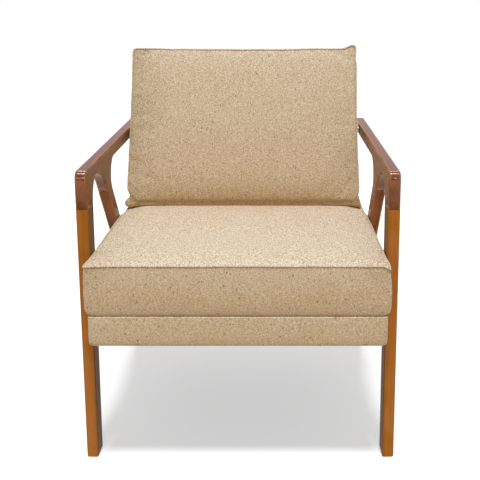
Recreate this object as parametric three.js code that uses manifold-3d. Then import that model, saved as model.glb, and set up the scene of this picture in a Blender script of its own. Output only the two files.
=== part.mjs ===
import * as THREE from "three";
import { mergeVertices } from "three/addons/utils/BufferGeometryUtils.js";
import Module from "manifold-3d";

const wasm = await Module();
wasm.setup();

// A fireside chair: two flat timber side frames carry an upholstered seat box and back.
// Millimetres and degrees. X runs across the chair, Y from front to back, Z up.

// Whole chair
const widthOverFrames = 660;
const toeInAngle = 2; // each side frame turns in towards the back
const fallAngle = 1.6; // seat and arms fall towards the back
const fitGap = 0.3; // between pieces that meet
const overrun = 5; // how far a cutting shape passes the face that it cuts

// Side frame, drawn in its own plane from the front of the leg and from the floor
const boardThickness = 25;
const boardEdgeRound = 4;
const armHeight = 632; // top of the arm at the front
const armTail = 82.8; // bolt through the arm to the end of the arm
const railDepth = 28;
const noseRadius = 20;
const armEndRadius = 8;
const frontLegTopDepth = 60;
const frontLegFootDepth = 49;
const archRadius = 45; // between the front leg and the rail
const rearLegTopDepth = 186; // rear edge of the rear leg, carried on to the top of the arm
const rearLegSeatDepth = 566; // front of the seat to the same edge, at the bottom of the seat
const rearLegTopWidth = 36;
const rearLegFootWidth = 28;
const rearFilletRadius = 38; // under the arm, behind the rear leg
const frontJointDrop = 80; // top of the arm to the glue line of rail and front leg
const rearJointDrop = 92; // and to that of rail and rear leg, on the leg's middle line
const strutBlendPull = 48; // how softly the rear leg's front edge turns into the rail
const outlineSteps = 10; // straight pieces in one curve of the outline
const edgeSteps = 2;

// Dowels in the two glue lines of each frame
const dowelRadius = 4;
const dowelLength = 40;
const dowelSides = 12;
const frontDowelSpacing = 26;
const rearDowelSpacing = 16;

// Seat box, measured from its lower front edge
const seatOverhang = 73; // the seat stands this far in front of the legs
const boxBottomHeight = 285;
const boxHeight = 62;
const boxSideGap = 2; // box to side frame
const boxCornerRadius = 14;
const boxEdgeRound = 3;
const coverThickness = 6; // fabric over thin foam
const railThickness = 22;
const dustCoverThickness = 1;
const railLift = 0.5; // rails stand this far above the dust cover
const cornerBlockLeg = 45;
const cornerBlockHeight = 44;
const coverCornerSteps = 4;

// Webbing of the seat and of the back
const strapThickness = 2;
const strapWidth = 50;
const strapEdgeMargin = 3; // strap end to the outside of the rail
const seatStrapCount = 5;
const seatStrapSag = 5;
const backStrapCount = 4;
const backStrapStart = 52; // deck of the seat box to the lowest strap
const backStrapSag = 4;
const strapSteps = 8;

// Back frame and its cover, leaning from the seat box
const reclineAngle = 13.4; // back against the seat
const backSetback = 576; // front of the seat box to the front of the back panel
const panelHeight = 470;
const panelSideGap = 2.4; // back panel to the arms
const panelCornerRadius = 18;
const panelEdgeRound = 5;
const stileDepth = 25;
const stileWidth = 40;
const topRailHeight = 60;
const bottomRailHeight = 42;
const slotClearance = 1; // round a stile where it goes down through the seat deck

// Bolts, and the plugs that hide the two in the arms
const boltRadius = 4;
const boltHeadRadius = 7;
const boltHeadHeight = 5;
const boltSocketRadius = 2.5;
const boltSocketDepth = 3;
const boltSides = 16;
const boltGrip = 17; // how far a bolt goes into the timber that it pulls on
const frontBoltSpacing = 26; // one above the other in the front leg
const rearBoltSpacing = 22; // side by side in the rear leg
const rearBoltLift = 8; // above the middle of the side rail
const stileBoltInset = 11; // from the inner edge of the stile
const plugRadius = 8;
const plugThickness = 4;
const plugSides = 24;

// Seat cushion
const seatCushionHeight = 106;
const seatCushionRearGap = 3; // to the back panel
const seatCushionCrown = 13;
const seatCushionDrawIn = 4;
const seatCushionCornerRadius = 16;
const seatBoxingBulge = 2;

// Back cushion
const backCushionThickness = 111;
const backCushionLength = 362;
const backCushionSideGap = 26; // inner face of the frame, at its front, to the cushion's side
const backCushionTaper = 9; // each side draws in by this at the top
const backCushionCrown = 16;
const backCushionDrawIn = 5;
const backCushionCornerRadius = 12;
const backBoxingBulge = 4;

// Both cushions
const seamRidge = 1.5; // the sewn edge stands proud by this
const seamRidgeHeight = 3;
const underRound = 4; // the underside lifts by this at its edge
const cushionSideSteps = 12;
const cushionCornerSteps = 3;
const faceRingShares = [0.965, 0.88, 0.74, 0.54, 0.28]; // from the seam to the middle
const underRingShares = [0.55, 0.95];
const boxingRowShares = [0.2, 0.5, 0.8];
const crownPower = 2.4;

// Colours
const railWood = { color: 0x7a3f1c, roughness: 0.28, metalness: 0 };
const legWood = { color: 0x9c5c24, roughness: 0.28, metalness: 0 };
const dowelWood = { color: 0xc9a06a, roughness: 0.7, metalness: 0 };
const softwood = { color: 0xc8a878, roughness: 0.75, metalness: 0 };
const steel = { color: 0x8f9296, roughness: 0.4, metalness: 0.9 };
const webbing = { color: 0x2b2a28, roughness: 0.9, metalness: 0 };
const fabric = { color: 0xc9b084, roughness: 0.95, metalness: 0 };
const dustCloth = { color: 0x1d1c1b, roughness: 1, metalness: 0 };

// What the sizes give
const radians = THREE.MathUtils.degToRad;
const toe = radians(toeInAngle);
const fall = radians(fallAngle);
const recline = radians(reclineAngle);
const rearLegSlope = (rearLegSeatDepth - seatOverhang - rearLegTopDepth) / (armHeight - boxBottomHeight);
const rearLean = Math.atan(rearLegSlope);
const rearFootReach = rearLegTopDepth + armHeight * rearLegSlope;
const frontJointHeight = armHeight - frontJointDrop;
const rearJointHeight = armHeight - rearJointDrop;
const frameMiddle = (widthOverFrames - boardThickness) / 2;
const innerHalf = widthOverFrames / 2 - boardThickness;
const railLow = dustCoverThickness + railLift;
const railTop = boxHeight - coverThickness - strapThickness - 2 * fitGap;
const stileFront = coverThickness + strapThickness + 2 * fitGap;
const stileRear = stileFront + stileDepth;
const panelThickness = stileRear + fitGap + coverThickness;
const boxDepth = backSetback + panelThickness / Math.cos(recline);

// Shape and solid helpers
const crossAxis = new THREE.Vector3(1, 0, 0);
const depthAxis = new THREE.Vector3(0, 1, 0);
const upAxis = new THREE.Vector3(0, 0, 1);
const frontAxis = depthAxis.clone().negate();

// A shape drawn as (depth, height) that gets its thickness across the chair.
const sideView = new THREE.Matrix4().makeBasis(depthAxis, upAxis, crossAxis);
// A shape drawn as (across, height) that gets its thickness towards the front.
const frontView = new THREE.Matrix4().makeBasis(crossAxis, upAxis, frontAxis);
// A shape drawn as (across, towards the front) that gets its thickness downwards.
const acrossView = new THREE.Matrix4().makeBasis(crossAxis, frontAxis, upAxis.clone().negate());
const sides = [["left", -1], ["right", 1]];

function piece(name, geometry, look) {
  const mesh = new THREE.Mesh(geometry, new THREE.MeshStandardMaterial(look));
  mesh.name = name;
  return mesh;
}

function solidOf(geometry) {
  const bare = geometry.clone();
  bare.deleteAttribute("normal");
  bare.deleteAttribute("uv");
  const merged = mergeVertices(bare);
  return new wasm.Manifold(new wasm.Mesh({
    numProp: 3,
    vertProperties: Float32Array.from(merged.attributes.position.array),
    triVerts: Uint32Array.from(merged.index.array),
  }));
}

function geometryOf(solid) {
  const mesh = solid.getMesh();
  const geometry = new THREE.BufferGeometry();
  geometry.setAttribute("position", new THREE.BufferAttribute(mesh.vertProperties, 3));
  geometry.setIndex(new THREE.BufferAttribute(mesh.triVerts, 1));
  geometry.computeVertexNormals();
  return geometry;
}

function cut(geometry, tools) {
  const start = solidOf(geometry);
  return geometryOf(tools.reduce((solid, tool) => solid.subtract(solidOf(tool)), start));
}

function keepInside(geometry, region) {
  return geometryOf(solidOf(geometry).intersect(solidOf(region)));
}

function block([x0, y0, z0], [x1, y1, z1]) {
  const box = new THREE.BoxGeometry(x1 - x0, y1 - y0, z1 - z0);
  return box.translate((x0 + x1) / 2, (y0 + y1) / 2, (z0 + z1) / 2);
}

// A rod along X from its start.
function rod(radius, length, sides) {
  const cylinder = new THREE.CylinderGeometry(radius, radius, length, sides);
  return cylinder.rotateZ(-Math.PI / 2).translate(length / 2, 0, 0);
}

// A plank with this plan, between two heights.
function plank(plan, low, high) {
  const settings = { depth: high - low, bevelEnabled: false, curveSegments: coverCornerSteps };
  return new THREE.ExtrudeGeometry(plan, settings).translate(0, 0, low);
}

function roundedBoard(shape, thickness, round, curveSegments) {
  const board = new THREE.ExtrudeGeometry(shape, {
    depth: thickness - 2 * round,
    bevelEnabled: true,
    bevelThickness: round,
    bevelSize: round,
    bevelOffset: -round,
    bevelSegments: edgeSteps,
    curveSegments,
  });
  return board.translate(0, 0, round);
}

// A closed outline through these corners, with rounded corners and drawn-in sides.
function softOutline(corners, radius, drawIn) {
  const outline = new THREE.Shape();
  const towards = (from, to) => to.clone().sub(from).setLength(radius).add(from);
  const count = corners.length;
  const first = towards(corners[0], corners[1]);
  outline.moveTo(first.x, first.y);
  for (let i = 0; i < count; i += 1) {
    const here = corners[i];
    const next = corners[(i + 1) % count];
    const afterNext = corners[(i + 2) % count];
    const along = next.clone().sub(here).normalize();
    const middle = here.clone().add(next).multiplyScalar(1 / 2);
    middle.add(new THREE.Vector2(-along.y, along.x).multiplyScalar(2 * drawIn));
    const end = towards(next, here);
    const turn = towards(next, afterNext);
    if (drawIn > 0) {
      outline.quadraticCurveTo(middle.x, middle.y, end.x, end.y);
    } else {
      outline.lineTo(end.x, end.y);
    }
    outline.quadraticCurveTo(next.x, next.y, turn.x, turn.y);
  }
  return outline;
}

// Where a place in the seat box, or on the leaning back, lies in the chair: (depth, height).
function fromSeat(depth, rise) {
  return new THREE.Vector2(
    depth * Math.cos(fall) + rise * Math.sin(fall) - seatOverhang,
    rise * Math.cos(fall) - depth * Math.sin(fall) + boxBottomHeight,
  );
}

function fromBack(depth, rise) {
  return fromSeat(
    backSetback + depth * Math.cos(recline) + rise * Math.sin(recline),
    boxHeight - depth * Math.sin(recline) + rise * Math.cos(recline),
  );
}

// Half the width of the seat box at a depth in it: its sides follow the side frames.
function boxHalfWidth(depth) {
  return innerHalf - boxSideGap + (seatOverhang - depth) * Math.tan(toe);
}

// Side frame lines
const armTop = (depth) => armHeight - depth * Math.tan(fall);
const armUnderside = (depth) => armTop(depth) - railDepth;
const heelLine = (height) => rearFootReach - height * rearLegSlope;
const levelWidth = (width) => width / Math.cos(rearLean);
const rearLegMiddle = (height) => {
  const share = height / rearJointHeight;
  const width = THREE.MathUtils.lerp(rearLegFootWidth, rearLegTopWidth, share);
  return heelLine(height) - levelWidth(width) / 2;
};

function sideFrameOutline() {
  const outline = new THREE.Shape();
  const archDepth = frontLegTopDepth + archRadius;
  const archBase = armUnderside(archDepth) - archRadius;
  const blendDepth = archDepth + strutBlendPull;
  const strutDepth = heelLine(rearJointHeight) - levelWidth(rearLegTopWidth);
  outline.moveTo(0, 0);
  outline.lineTo(frontLegFootDepth, 0);
  outline.lineTo(frontLegTopDepth, archBase);
  outline.absarc(archDepth, archBase, archRadius, Math.PI, Math.PI / 2, true);
  outline.bezierCurveTo(
    blendDepth, armUnderside(blendDepth),
    strutDepth - strutBlendPull * Math.sin(rearLean), rearJointHeight + strutBlendPull * Math.cos(rearLean),
    strutDepth, rearJointHeight,
  );
  outline.lineTo(rearFootReach - levelWidth(rearLegFootWidth), 0);
  outline.lineTo(rearFootReach, 0);

  // The fillet touches the heel line and the underside of the arm.
  const reach = rearFootReach + levelWidth(rearFilletRadius);
  const ceiling = armHeight - railDepth - rearFilletRadius / Math.cos(fall);
  const filletHeight = (ceiling - reach * Math.tan(fall)) / (1 - Math.tan(fall) * rearLegSlope);
  const filletDepth = reach - filletHeight * rearLegSlope;
  outline.absarc(filletDepth, filletHeight, rearFilletRadius, Math.PI + rearLean, Math.PI / 2 - fall, true);

  const armReach = armBoltPlace().depth + armTail;
  const endStart = armReach - armEndRadius;
  outline.lineTo(endStart, armUnderside(endStart));
  outline.quadraticCurveTo(armReach, armUnderside(armReach), armReach, armUnderside(armReach) + armEndRadius);
  outline.lineTo(armReach, armTop(armReach) - armEndRadius);
  outline.quadraticCurveTo(armReach, armTop(armReach), endStart, armTop(endStart));
  outline.lineTo(noseRadius, armTop(noseRadius));
  outline.quadraticCurveTo(0, armHeight, 0, armHeight - noseRadius);
  return outline;
}

// Parts of the frame below its two glue lines. A gap lifts the line for the rail's side of it.
function frontLegRegion(gap) {
  const side = boardThickness / 2 + overrun;
  return block(
    [-side, -overrun, -overrun],
    [side, frontLegTopDepth + archRadius, frontJointHeight + gap],
  );
}

function rearLegRegion(gap) {
  const side = boardThickness / 2 + overrun;
  const reach = armHeight / Math.cos(rearLean);
  const region = block([-side, -rearLegTopWidth, -reach], [side, rearLegTopWidth, gap]);
  return region.applyMatrix4(rearJointPlace);
}

const rearJointPlace = new THREE.Matrix4()
  .makeRotationX(rearLean)
  .setPosition(0, rearLegMiddle(rearJointHeight), rearJointHeight);

// Where the dowels cross the glue lines: a place on the line and the way the dowels run.
function dowelPlaces() {
  const frontPlace = new THREE.Matrix4().setPosition(0, frontLegTopDepth / 2, frontJointHeight);
  return [
    { name: "front", place: frontPlace, spacing: frontDowelSpacing },
    { name: "rear", place: rearJointPlace, spacing: rearDowelSpacing },
  ].flatMap(({ name, place, spacing }) => [-1, 1].map((way, i) => ({
    name: `${name}_dowel_${i + 1}`,
    matrix: place.clone().multiply(new THREE.Matrix4().setPosition(0, way * spacing / 2, 0)),
  })));
}

function dowelGeometry(clearance) {
  const length = dowelLength + 2 * clearance;
  const radius = dowelRadius + clearance;
  return new THREE.CylinderGeometry(radius, radius, length, dowelSides).rotateX(Math.PI / 2);
}

// A bolt along X: the underside of its head is at the start.
function boltGeometry(length) {
  const headTop = -boltHeadHeight;
  const profile = [
    [0, headTop + boltSocketDepth],
    [boltSocketRadius, headTop + boltSocketDepth],
    [boltSocketRadius, headTop],
    [boltHeadRadius, headTop],
    [boltHeadRadius, 0],
    [boltRadius, 0],
    [boltRadius, length],
    [0, length],
  ].map(([radius, along]) => new THREE.Vector2(radius, along));
  return new THREE.LatheGeometry(profile, boltSides).rotateZ(-Math.PI / 2);
}

// Bolts from inside the seat box into the legs: depth and height in the frame's plane.
function seatBoltPlaces() {
  const railMiddle = (railLow + railTop) / 2;
  const middleAt = (depth) => boxBottomHeight + railMiddle - (depth + seatOverhang) * Math.tan(fall);
  const frontDepth = (frontLegTopDepth + frontLegFootDepth) / 2 / 2;
  const rearHeight = middleAt(rearLegMiddle(boxBottomHeight)) + rearBoltLift;
  const rearDepth = rearLegMiddle(rearHeight);
  return [
    { name: "front_bolt_upper", depth: frontDepth, height: middleAt(frontDepth) + frontBoltSpacing / 2 },
    { name: "front_bolt_lower", depth: frontDepth, height: middleAt(frontDepth) - frontBoltSpacing / 2 },
    { name: "rear_bolt_fore", depth: rearDepth - rearBoltSpacing / 2, height: rearHeight },
    { name: "rear_bolt_aft", depth: rearDepth + rearBoltSpacing / 2, height: rearHeight },
  ];
}

// The bolt through the arm meets the middle of the leaning stile.
function armBoltPlace() {
  const stileMiddle = (stileFront + stileRear) / 2;
  const low = fromBack(stileMiddle, 0);
  const high = fromBack(stileMiddle, panelHeight);
  const armMiddle = (depth) => armTop(depth) - railDepth / 2;
  const slope = (high.x - low.x) / (high.y - low.y);
  const height = armMiddle(low.x - low.y * slope) / (1 + slope * Math.tan(fall));
  const depth = low.x + (height - low.y) * slope;
  return { depth: depth / Math.cos(toe), height: armMiddle(depth) };
}

const seatBoltReach = boxSideGap + coverThickness + railThickness + 2 * fitGap; // leg to bolt head
const armBoltSink = plugThickness + fitGap + boltHeadHeight; // arm's outer face to under the head
const panelSide = coverThickness + panelSideGap + fitGap; // arm's inner face to the stile

// Bores that run through pieces of more than one group. Each is a mesh in its bolt's own group
// until the pieces that it passes through are drilled.
const bores = [];

function addBore(group, geometry) {
  const bore = new THREE.Mesh(geometry);
  group.add(bore);
  bores.push(bore);
}

// One side frame. Its group's X starts at the middle of the board.
function sideFrame(word, side) {
  const group = new THREE.Group();
  group.position.x = side * frameMiddle;
  group.rotation.z = side * toe;
  const half = boardThickness / 2;
  const outward = side < 0 ? Math.PI : 0;
  const across = (geometry, start, depth, height) => (
    geometry.translate(start, 0, 0).rotateZ(outward).translate(0, depth, height)
  );

  const holes = dowelPlaces().map(({ matrix }) => dowelGeometry(fitGap).applyMatrix4(matrix));
  for (const { depth, height } of seatBoltPlaces()) {
    const start = -half - seatBoltReach - overrun;
    const bore = rod(boltRadius + fitGap, seatBoltReach + overrun + boltGrip + fitGap, boltSides);
    holes.push(across(bore, start, depth, height));
    addBore(group, bore);
  }
  const armBolt = armBoltPlace();
  const armBoltLength = boardThickness - armBoltSink + panelSide + boltGrip;
  const sink = rod(plugRadius + fitGap, armBoltSink + overrun, plugSides);
  const armBore = rod(boltRadius + fitGap, armBoltLength + fitGap + overrun, boltSides);
  const armBoreStart = half - armBoltSink - armBoltLength - fitGap;
  holes.push(across(sink, half - armBoltSink, armBolt.depth, armBolt.height));
  holes.push(across(armBore, armBoreStart, armBolt.depth, armBolt.height));
  addBore(group, armBore);

  const board = roundedBoard(sideFrameOutline(), boardThickness, boardEdgeRound, outlineSteps);
  const drilled = cut(board.applyMatrix4(sideView).translate(-half, 0, 0), holes);
  const rail = cut(drilled, [frontLegRegion(fitGap), rearLegRegion(fitGap)]);
  group.add(piece(`${word}_arm_rail`, rail, railWood));
  group.add(piece(`${word}_front_leg`, keepInside(drilled, frontLegRegion(0)), legWood));
  group.add(piece(`${word}_rear_leg`, keepInside(drilled, rearLegRegion(0)), legWood));

  for (const { name, matrix } of dowelPlaces()) {
    const dowel = piece(`${word}_${name}`, dowelGeometry(0), dowelWood);
    dowel.applyMatrix4(matrix);
    group.add(dowel);
  }
  for (const { name, depth, height } of seatBoltPlaces()) {
    const bolt = boltGeometry(seatBoltReach + boltGrip);
    across(bolt, -half - seatBoltReach, depth, height);
    group.add(piece(`${word}_${name}`, bolt, steel));
  }
  const armBoltPiece = boltGeometry(armBoltLength).rotateZ(Math.PI);
  across(armBoltPiece, half - armBoltSink + fitGap, armBolt.depth, armBolt.height);
  group.add(piece(`${word}_arm_bolt`, armBoltPiece, steel));
  const plug = rod(plugRadius, plugThickness, plugSides);
  across(plug, half - plugThickness, armBolt.depth, armBolt.height);
  group.add(piece(`${word}_arm_plug`, plug, railWood));
  return group;
}

// Cushions: rings of the outline from the middle of the underside to the middle of the top.
function closeRings(rings, lowPole, highPole) {
  const count = rings[0].length;
  const points = [...rings.flat(), lowPole, highPole];
  const low = points.length - 2;
  const high = points.length - 1;
  const index = [];
  for (let i = 0; i < count; i += 1) {
    const next = (i + 1) % count;
    const last = (rings.length - 1) * count;
    index.push(low, next, i, high, last + i, last + next);
    for (let row = 0; row < last; row += count) {
      index.push(row + i, row + next, row + count + next);
      index.push(row + i, row + count + next, row + count + i);
    }
  }
  const geometry = new THREE.BufferGeometry().setFromPoints(points);
  geometry.setIndex(index);
  geometry.computeVertexNormals();
  return geometry;
}

const crownRise = (crown, share) => crown * (1 - share ** crownPower);

function cushionGeometry({ corners, cornerRadius, drawIn, thickness, crown, bulge }) {
  const curves = softOutline(corners, cornerRadius, drawIn).curves;
  const edge = curves.flatMap((curve, i) => (
    curve.getPoints(i % 2 === 0 ? cushionSideSteps : cushionCornerSteps).slice(1)
  ));
  const middle = corners.reduce((sum, corner) => sum.add(corner), new THREE.Vector2());
  middle.multiplyScalar(1 / corners.length);
  const outwards = edge.map((point, i) => {
    const before = edge[(i + edge.length - 1) % edge.length];
    const after = edge[(i + 1) % edge.length];
    return new THREE.Vector2(after.y - before.y, before.x - after.x).normalize();
  });
  const ring = (share, offset, height) => edge.map((point, i) => {
    const place = point.clone().addScaledVector(outwards[i], offset).sub(middle);
    place.multiplyScalar(share).add(middle);
    return new THREE.Vector3(place.x, place.y, height);
  });
  const boxingHeight = thickness - underRound;
  const rings = [
    ...underRingShares.map((share) => ring(share, 0, underRound - crownRise(underRound, share))),
    ring(1, seamRidge, underRound),
    ...boxingRowShares.map((share) => (
      ring(1, bulge * Math.sin(Math.PI * share), underRound + boxingHeight * share)
    )),
    ring(1, 0, thickness - seamRidgeHeight),
    ring(1, seamRidge, thickness),
    ...faceRingShares.map((share) => ring(share, 0, thickness + crownRise(crown, share))),
  ];
  const pole = (height) => new THREE.Vector3(middle.x, middle.y, height);
  return closeRings(rings, pole(0), pole(thickness + crown));
}

// Seat box. Its frame ends where the feet of the back's stiles stand.
const railOutside = coverThickness + fitGap;
const railInside = railOutside + railThickness;
const footFront = backSetback + stileFront * Math.cos(recline);
const footRear = backSetback + stileRear * Math.cos(recline);
const frameRear = footFront - fitGap;
const rearRailFront = frameRear - railThickness;

// The corners of the box's plan between two depths, drawn in from its outside by an inset.
function seatPlan(front, rear, inset) {
  const corner = (side, depth) => new THREE.Vector2(side * (boxHalfWidth(depth) - inset), depth);
  return [corner(-1, front), corner(1, front), corner(1, rear), corner(-1, rear)];
}

function crossRail(front) {
  const plan = seatPlan(front, front + railThickness, railInside + fitGap);
  return plank(new THREE.Shape(plan), railLow, railTop);
}

function sideRail(side) {
  const corner = (depth, inset) => new THREE.Vector2(side * (boxHalfWidth(depth) - inset), depth);
  const plan = [
    corner(railOutside, railOutside),
    corner(frameRear, railOutside),
    corner(frameRear, railInside),
    corner(railOutside, railInside),
  ];
  return plank(new THREE.Shape(plan), railLow, railTop);
}

function cornerBlock(side) {
  const front = railInside + fitGap;
  const corner = (depth, leg) => (
    new THREE.Vector2(side * (boxHalfWidth(depth) - railInside - fitGap - leg), depth)
  );
  const plan = [corner(front, 0), corner(front + cornerBlockLeg, 0), corner(front, cornerBlockLeg)];
  return plank(new THREE.Shape(plan), railLow, railLow + cornerBlockHeight);
}

// A strap seen from its edge: flat on its two rails, slack between them.
function strapGeometry(length, land, sag) {
  const shape = new THREE.Shape();
  shape.moveTo(0, 0);
  shape.lineTo(land, 0);
  shape.quadraticCurveTo(length / 2, -2 * sag, length - land, 0);
  shape.lineTo(length, 0);
  shape.lineTo(length, strapThickness);
  shape.lineTo(length - land, strapThickness);
  shape.quadraticCurveTo(length / 2, strapThickness - 2 * sag, land, strapThickness);
  shape.lineTo(0, strapThickness);
  const settings = { depth: strapWidth, bevelEnabled: false, curveSegments: strapSteps };
  return new THREE.ExtrudeGeometry(shape, settings);
}

// A box of padded fabric, open below, with a slot in its deck for each stile.
function seatBoxCover() {
  const outside = softOutline(seatPlan(0, boxDepth, 0), boxCornerRadius, 0);
  const skin = roundedBoard(outside, boxHeight, boxEdgeRound, coverCornerSteps);
  const inside = seatPlan(coverThickness, boxDepth - coverThickness, coverThickness);
  const cavity = plank(new THREE.Shape(inside), -overrun, boxHeight - coverThickness);
  const slotRear = footRear + boxHeight * Math.tan(recline) + slotClearance;
  const slots = [-1, 1].map((side) => {
    const ends = [side * stileInner, side * stileOuter];
    return block(
      [Math.min(...ends) - slotClearance, footFront - slotClearance, railTop],
      [Math.max(...ends) + slotClearance, slotRear, boxHeight + overrun],
    );
  });
  return cut(skin, [cavity, ...slots]);
}

function seatCushion() {
  return cushionGeometry({
    corners: seatPlan(seatBoxingBulge, backSetback - seatCushionRearGap, 0),
    cornerRadius: seatCushionCornerRadius,
    drawIn: seatCushionDrawIn,
    thickness: seatCushionHeight,
    crown: seatCushionCrown,
    bulge: seatBoxingBulge,
  });
}

function seat() {
  const group = new THREE.Group();
  group.position.set(0, -seatOverhang, boxBottomHeight);
  group.rotation.x = -fall;
  group.add(piece("seat_box_cover", seatBoxCover(), fabric));
  group.add(piece("seat_cushion", seatCushion().translate(0, 0, boxHeight + fitGap), fabric));
  group.add(piece("seat_front_rail", crossRail(railOutside), softwood));
  group.add(piece("seat_rear_rail", crossRail(rearRailFront), softwood));
  for (const [word, side] of sides) {
    group.add(piece(`seat_${word}_rail`, sideRail(side), softwood));
    group.add(piece(`seat_${word}_corner_block`, cornerBlock(side), softwood));
  }
  const dustPlan = new THREE.Shape(seatPlan(railOutside, boxDepth - railOutside, railOutside));
  group.add(piece("seat_dust_cover", plank(dustPlan, 0, dustCoverThickness), dustCloth));

  const land = railThickness - strapEdgeMargin;
  const strapLength = frameRear - railOutside - 2 * strapEdgeMargin;
  const pitch = 2 * (boxHalfWidth(frameRear) - railInside) / seatStrapCount;
  for (let i = 0; i < seatStrapCount; i += 1) {
    const middle = (i - (seatStrapCount - 1) / 2) * pitch;
    const geometry = strapGeometry(strapLength, land, seatStrapSag)
      .applyMatrix4(sideView)
      .translate(middle - strapWidth / 2, railOutside + strapEdgeMargin, railTop + fitGap);
    group.add(piece(`seat_strap_${i + 1}`, geometry, webbing));
  }
  return group;
}

// Back frame: two stiles whose feet stand in the seat box, behind its rear rail.
const panelRearAtArm = armBoltPlace().depth + panelThickness / 2;
const panelHalfWidth = innerHalf - panelRearAtArm * Math.tan(toe) - panelSideGap;
const stileOuter = panelHalfWidth - coverThickness - fitGap;
const stileInner = stileOuter - stileWidth;
const stileTop = panelHeight - coverThickness - fitGap;

function stile() {
  const foot = (depth) => {
    const drop = boxHeight - depth * Math.sin(recline) - railLow;
    return new THREE.Vector2(depth + drop * Math.sin(recline), -drop * Math.cos(recline));
  };
  const profile = new THREE.Shape([
    foot(stileFront),
    foot(stileRear),
    new THREE.Vector2(stileRear, 0),
    new THREE.Vector2(stileRear, stileTop),
    new THREE.Vector2(stileFront, stileTop),
    new THREE.Vector2(stileFront, 0),
  ]);
  const settings = { depth: stileWidth, bevelEnabled: false };
  return new THREE.ExtrudeGeometry(profile, settings).applyMatrix4(sideView);
}

// A padded cover, open below, that stands on the deck of the seat box.
function backPanelCover() {
  const skirt = panelCornerRadius + overrun;
  const corner = (side, height) => new THREE.Vector2(side * panelHalfWidth, height);
  const corners = [corner(-1, -skirt), corner(1, -skirt), corner(1, panelHeight), corner(-1, panelHeight)];
  const outside = softOutline(corners, panelCornerRadius, 0);
  const skin = roundedBoard(outside, panelThickness, panelEdgeRound, coverCornerSteps);
  const cavitySide = panelHalfWidth - coverThickness;
  const cavity = block(
    [-cavitySide, coverThickness, -skirt - overrun],
    [cavitySide, panelThickness - coverThickness, panelHeight - coverThickness],
  );
  return cut(skin.applyMatrix4(frontView).translate(0, panelThickness, 0), [cavity]);
}

// All of the seat box up to its deck, for the foot of the back panel's cover.
function belowDeck() {
  const side = panelHalfWidth + overrun;
  const reach = panelCornerRadius + panelThickness;
  return block(
    [-side, backSetback - reach, boxHeight - 2 * reach],
    [side, boxDepth + reach, boxHeight + fitGap],
  );
}

// The back cushion sits on the rear edge of the seat cushion.
function backCushionLow() {
  const seatRearGap = seatCushionRearGap - seatBoxingBulge;
  const forward = (seatRearGap + seatCushionHeight * Math.tan(recline)) / Math.cos(recline);
  const rise = seatCushionHeight + 2 * fitGap - forward * Math.sin(recline);
  return rise / Math.cos(recline) + backBoxingBulge;
}

function backCushion() {
  const halfBottom = innerHalf - backCushionSideGap;
  const halfTop = halfBottom - backCushionTaper;
  return cushionGeometry({
    corners: [
      new THREE.Vector2(-halfBottom, 0),
      new THREE.Vector2(halfBottom, 0),
      new THREE.Vector2(halfTop, backCushionLength),
      new THREE.Vector2(-halfTop, backCushionLength),
    ],
    cornerRadius: backCushionCornerRadius,
    drawIn: backCushionDrawIn,
    thickness: backCushionThickness,
    crown: backCushionCrown,
    bulge: backBoxingBulge,
  }).applyMatrix4(frontView);
}

function back() {
  const group = new THREE.Group();
  group.position.set(0, backSetback, boxHeight);
  group.rotation.x = -recline;
  group.add(piece("back_panel_cover", backPanelCover(), fabric));
  group.add(piece("back_cushion", backCushion().translate(0, -fitGap, backCushionLow()), fabric));
  for (const [word, side] of sides) {
    const start = side < 0 ? -stileOuter : stileInner;
    group.add(piece(`back_${word}_stile`, stile().translate(start, 0, 0), softwood));
  }
  const railSide = stileInner - fitGap;
  const topRail = block([-railSide, stileFront, stileTop - topRailHeight], [railSide, stileRear, stileTop]);
  group.add(piece("back_top_rail", topRail, softwood));

  const land = stileWidth - strapEdgeMargin;
  const strapLength = 2 * (stileOuter - strapEdgeMargin);
  const pitch = (stileTop - topRailHeight - backStrapStart) / backStrapCount;
  for (let i = 0; i < backStrapCount; i += 1) {
    const geometry = strapGeometry(strapLength, land, backStrapSag)
      .applyMatrix4(acrossView)
      .translate(-strapLength / 2, stileFront - fitGap, backStrapStart + i * pitch + strapWidth);
    group.add(piece(`back_strap_${i + 1}`, geometry, webbing));
  }
  return group;
}

// What ties the back to the seat box: the lower rail, and a bolt into the foot of each stile.
function backFoot() {
  const group = new THREE.Group();
  const railSide = stileInner - fitGap;
  const rail = block([-railSide, footFront, railLow], [railSide, footRear, railLow + bottomRailHeight]);
  group.add(piece("back_bottom_rail", rail, softwood));
  const start = rearRailFront - fitGap;
  const length = frameRear - start + fitGap + boltGrip;
  for (const [word, side] of sides) {
    const x = side * (stileInner + stileBoltInset);
    const height = (railLow + railTop) / 2;
    const bolt = boltGeometry(length).rotateZ(Math.PI / 2).translate(x, start, height);
    group.add(piece(`back_${word}_bolt`, bolt, steel));
    const bore = rod(boltRadius + fitGap, length + fitGap + overrun, boltSides);
    addBore(group, bore.rotateZ(Math.PI / 2).translate(x, start - overrun, height));
  }
  return group;
}

function drill(target, tools) {
  const home = target.matrixWorld.clone().invert();
  target.geometry = cut(target.geometry, tools.map((tool) => (
    tool.geometry.clone().applyMatrix4(home.clone().multiply(tool.matrixWorld))
  )));
}

// The chair
const chair = new THREE.Group();
const seatGroup = seat();
const backGroup = back();
seatGroup.add(backGroup, backFoot());
chair.add(seatGroup, ...sides.map(([word, side]) => sideFrame(word, side)));

const deckTool = new THREE.Mesh(belowDeck());
seatGroup.add(deckTool);
chair.updateMatrixWorld(true);
drill(chair.getObjectByName("back_panel_cover"), [deckTool, ...bores]);
const boltedPieces = [
  "seat_box_cover",
  "seat_left_rail",
  "seat_right_rail",
  "seat_rear_rail",
  "back_left_stile",
  "back_right_stile",
];
for (const name of boltedPieces) {
  drill(chair.getObjectByName(name), bores);
}
[deckTool, ...bores].forEach((tool) => tool.removeFromParent());

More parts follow.
